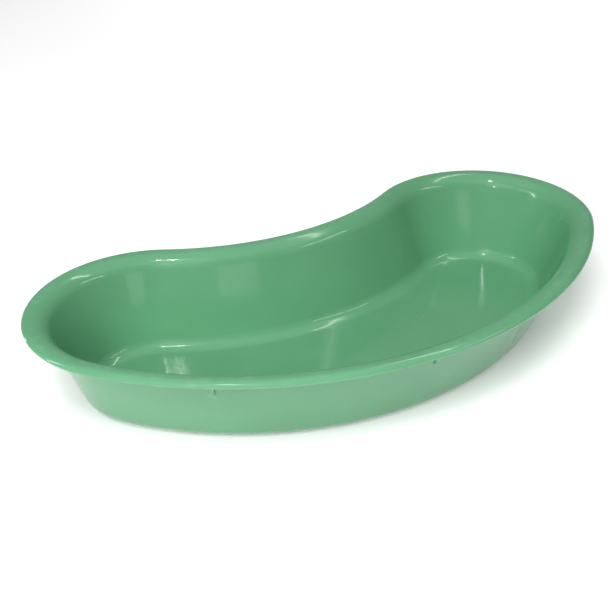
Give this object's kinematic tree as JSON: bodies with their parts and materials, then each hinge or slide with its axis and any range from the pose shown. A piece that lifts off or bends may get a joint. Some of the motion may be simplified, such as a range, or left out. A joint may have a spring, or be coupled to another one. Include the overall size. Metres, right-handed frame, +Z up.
{
  "type": "kidney dish",
  "caption": "Kidney-shaped ward dish with leaning walls, a flat floor and a plain flared rim, for catching fluids or carrying small items.",
  "frame": {"origin": "on the surface the dish stands on, under the middle of its outline's box", "axes": "+X along the dish's length, -Y to the bulging belly, +Y to the hollow notch, +Z up"},
  "size_m": [0.3, 0.159, 0.045],
  "materials": {
    "green_plastic": "glossy"
  },
  "bodies": {
    "root": {"kidney_dish": "green_plastic"}
  },
  "joints": []
}
